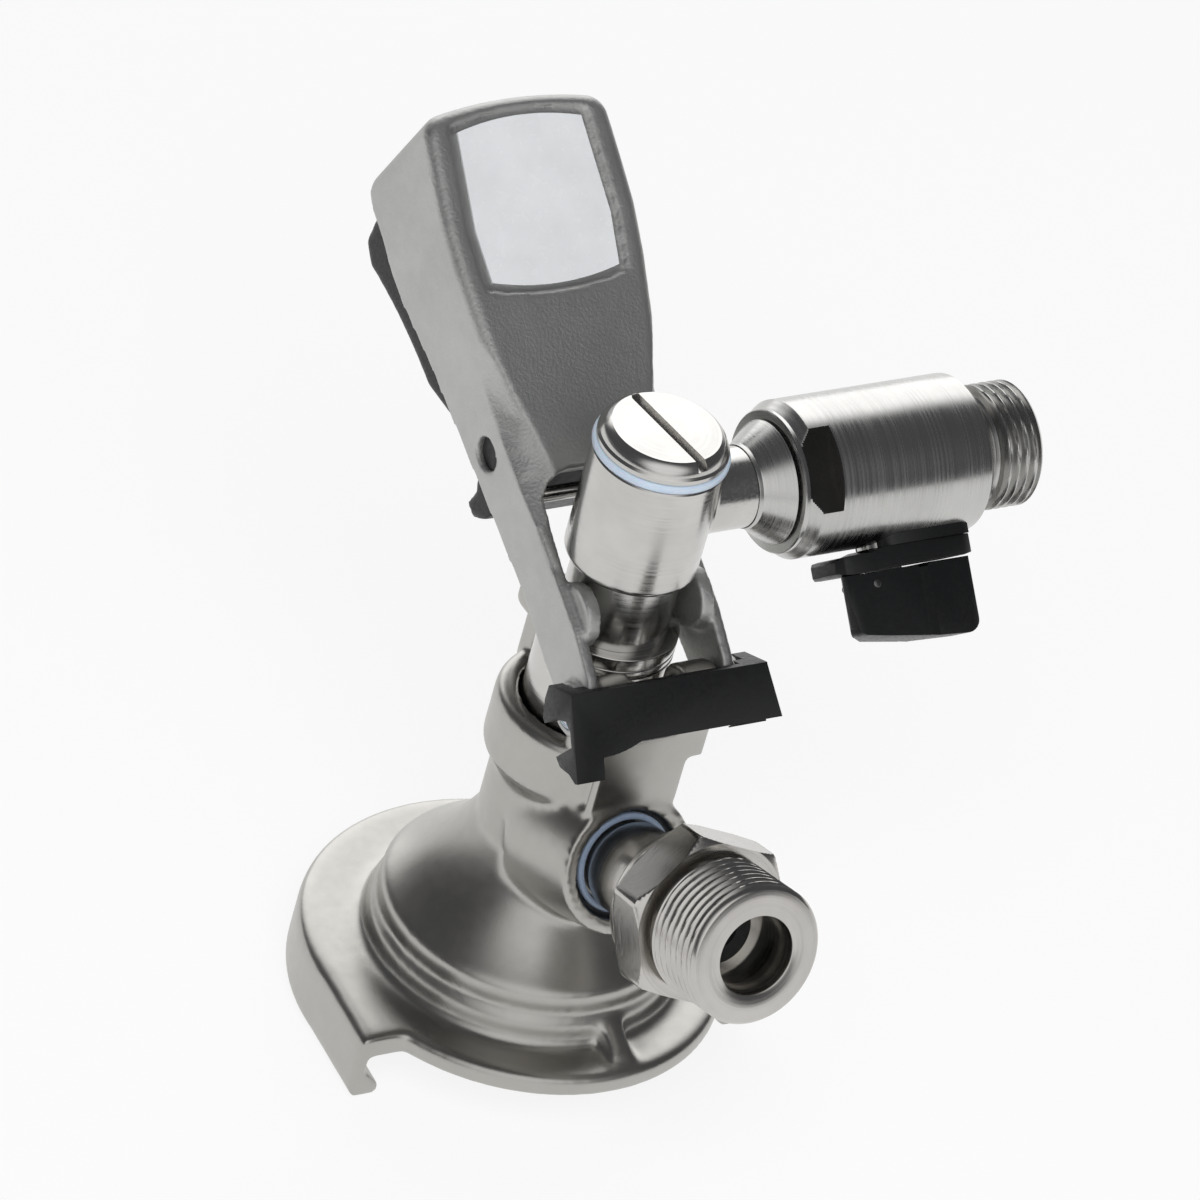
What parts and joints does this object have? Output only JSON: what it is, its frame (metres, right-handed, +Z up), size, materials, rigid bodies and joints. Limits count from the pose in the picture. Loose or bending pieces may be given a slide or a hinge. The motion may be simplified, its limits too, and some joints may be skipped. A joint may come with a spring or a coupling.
{
  "type": "keg coupler",
  "caption": "Slide-on keg coupler with a squeeze-trigger lever handle, a front gas inlet and a side beer outlet with a lever ball valve.",
  "frame": {"origin": "centre of the seating face that lies on the keg neck, on the axis of the body", "axes": "+Z up the axis of the body, +X out of the beer outlet and along the handle's hinge, -Y out of the gas inlet"},
  "size_m": [0.1198, 0.1499, 0.1552],
  "materials": {
    "cast_steel": "bead-blasted stainless steel casting",
    "cast_handle": "grainy blasted metal casting",
    "turned_steel": "turned and polished stainless steel",
    "black_plastic": "black moulded plastic",
    "black_rubber": "black rubber",
    "seal_plastic": "whitish sealing plastic",
    "label_white": "glossy white label"
  },
  "bodies": {
    "body": {"body_casting": "cast_steel", "body_seal": "black_rubber", "gas_inlet_fitting": "turned_steel", "gas_seal_ring": "seal_plastic", "gas_check_valve": "black_rubber", "hinge_clip": "black_plastic", "hinge_pin_left": "turned_steel", "hinge_pin_right": "turned_steel"},
    "probe": {"probe_plunger": "turned_steel", "swivel_ring": "turned_steel", "probe_oring_upper": "black_rubber", "probe_oring_lower": "black_rubber", "probe_seal": "black_rubber"},
    "outlet": {"elbow": "turned_steel", "cap_screw": "turned_steel", "cap_seal_ring": "seal_plastic", "valve_tail": "turned_steel", "valve_body": "turned_steel", "valve_end_fitting": "turned_steel", "valve_seat_inner": "seal_plastic", "valve_seat_outer": "seal_plastic", "stem_gland": "turned_steel"},
    "check": {"check_ball": "seal_plastic"},
    "valve": {"valve_ball": "turned_steel", "valve_stem": "turned_steel", "valve_lever": "black_plastic", "lever_pin": "turned_steel"},
    "handle": {"handle_frame": "cast_handle", "label_plate": "label_white", "hinge_bush_left": "seal_plastic", "hinge_bush_right": "seal_plastic", "trigger_pin": "black_plastic", "latch_bar": "turned_steel"},
    "squeeze": {"trigger": "black_plastic"}
  },
  "joints": [
    {"name": "handle_pivot", "type": "hinge", "parent": "body", "child": "handle", "pos_m": [0, -0.0165, 0.076], "axis": [-1, 0, 0], "range_deg": [0, 42]},
    {"name": "probe_slide", "type": "slide", "parent": "body", "child": "probe", "axis": [0, 0, 1], "range_m": [-0.0106, 0]},
    {"name": "outlet_swivel", "type": "hinge", "parent": "probe", "child": "outlet", "pos_m": [0, 0, 0.1073], "axis": [0, 0, 1], "range_deg": [-180, 0]},
    {"name": "check_ball_lift", "type": "slide", "parent": "outlet", "child": "check", "axis": [0, 0, 1], "range_m": [0, 0.001]},
    {"name": "valve_turn", "type": "hinge", "parent": "outlet", "child": "valve", "pos_m": [0.046, 0, 0.1073], "axis": [0, -0.7071, -0.7071], "range_deg": [0, 90]},
    {"name": "trigger_squeeze", "type": "hinge", "parent": "handle", "child": "squeeze", "pos_m": [0, 0.02676, 0.0999], "axis": [1, 0, 0], "range_deg": [0, 10], "stiffness_Nm_per_rad": 0.6, "springref_deg": -8.59}
  ],
  "couplings": [
    {"joint": "probe_slide", "follows": "handle_pivot", "m_per_rad": -0.01446}
  ]
}
